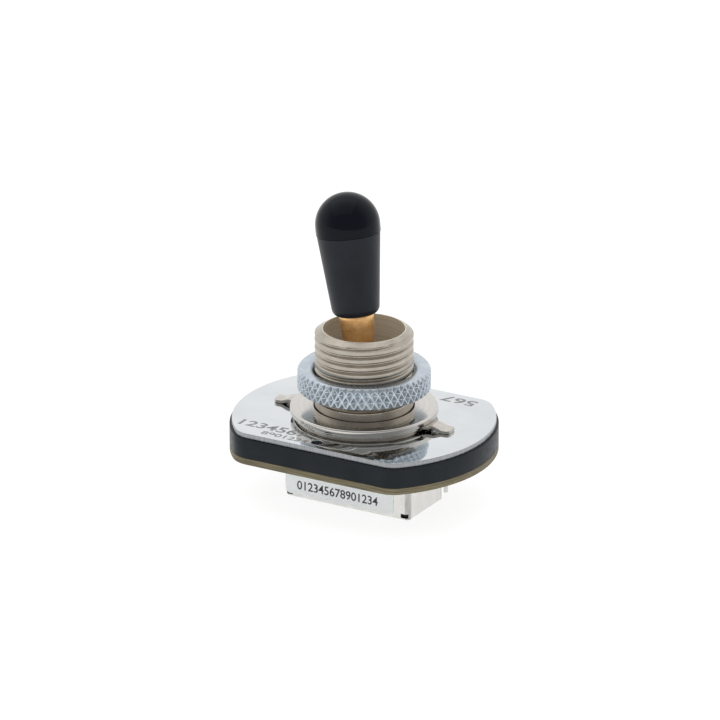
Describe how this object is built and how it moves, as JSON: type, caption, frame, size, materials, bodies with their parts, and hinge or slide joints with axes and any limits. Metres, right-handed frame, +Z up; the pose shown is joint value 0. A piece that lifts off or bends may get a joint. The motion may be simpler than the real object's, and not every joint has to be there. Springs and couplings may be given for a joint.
{
  "type": "guitar pickup selector switch",
  "caption": "Panel-mount toggle switch with a tilting lever in a threaded bushing, a knurled nut, washers, a flatted mounting plate and a shielded contact can.",
  "frame": {"origin": "on the bushing's axis, at the bottom face of the shield can that the switch stands on", "axes": "+Z up along the bushing, X along the plate's two flats, -Y towards the labelled side"},
  "size_m": [0.0326, 0.0248, 0.0382],
  "materials": {
    "tip_black": "satin moulded black with a glossy dome",
    "lever_brass": "bright turned brass",
    "bushing_nickel": "nickel plated, fine turned thread",
    "nut_zinc": "bright zinc plated, diamond knurled",
    "washer_nickel": "nickel plated, turned",
    "lug_steel": "plated spring steel",
    "plate_steel": "mirror polished",
    "body_black": "moulded, satin",
    "board_laminate": "glass laminate with a bare edge",
    "pad_gold": "gold flashed copper",
    "solder_tin": "tinned",
    "can_tin": "bright tinned sheet",
    "label_paper": "satin label film",
    "inner_plastic": "natural moulded plastic",
    "inner_steel": "turned steel",
    "spring_steel": "bright spring wire",
    "wiper_bronze": "spring bronze sheet"
  },
  "bodies": {
    "root": {"threaded_bushing": "bushing_nickel", "pivot_keys": "inner_steel", "flat_washer": "washer_nickel", "lug_washer": "lug_steel", "top_plate": "plate_steel", "switch_body": "body_black", "circuit_board": "board_laminate", "contact_pads": "pad_gold", "wire_pads": "solder_tin", "board_pins": "solder_tin", "slider_frame": "inner_plastic", "detent_plate": "inner_plastic", "shield_can": "can_tin", "can_label": "label_paper"},
    "nut": {"knurled_nut": "nut_zinc"},
    "rocker": {"rocker_ring": "inner_steel"},
    "lever": {"toggle_lever": "lever_brass", "lever_tip": "tip_black", "cross_pin": "inner_steel", "plunger_spring": "spring_steel"},
    "plunger": {"detent_plunger": "inner_steel"},
    "select_carriage": {"select_slider": "inner_plastic", "select_wipers": "wiper_bronze"},
    "bank_carriage": {"bank_slider": "inner_plastic", "bank_wipers": "wiper_bronze"}
  },
  "joints": [
    {"name": "nut_turn", "type": "hinge", "parent": "root", "child": "nut", "pos_m": [0, 0, 0.016], "axis": [0, 0, 1], "continuous": true},
    {"name": "select_tilt", "type": "hinge", "parent": "root", "child": "rocker", "pos_m": [0, 0, 0.0134], "axis": [0, 1, 0], "range_deg": [0, 17.2]},
    {"name": "bank_tilt", "type": "hinge", "parent": "rocker", "child": "lever", "pos_m": [0, 0, 0.0134], "axis": [0.9888, 0, 0.1495], "range_deg": [0, 8]},
    {"name": "plunger_press", "type": "slide", "parent": "lever", "child": "plunger", "axis": [-0.1492, 0.0698, 0.9863], "range_m": [-0.00025, 0.0003], "stiffness_N_per_m": 200, "deforming": ["plunger_spring"]},
    {"name": "select_slide", "type": "slide", "parent": "root", "child": "select_carriage", "axis": [1, 0, 0], "range_m": [-0.0015, 0]},
    {"name": "bank_slide", "type": "slide", "parent": "root", "child": "bank_carriage", "axis": [0, 1, 0], "range_m": [0, 0.00117]}
  ],
  "couplings": [
    {"joint": "select_slide", "follows": "select_tilt", "m_per_rad": -0.0049623},
    {"joint": "bank_slide", "follows": "bank_tilt", "m_per_rad": 0.0083574}
  ]
}
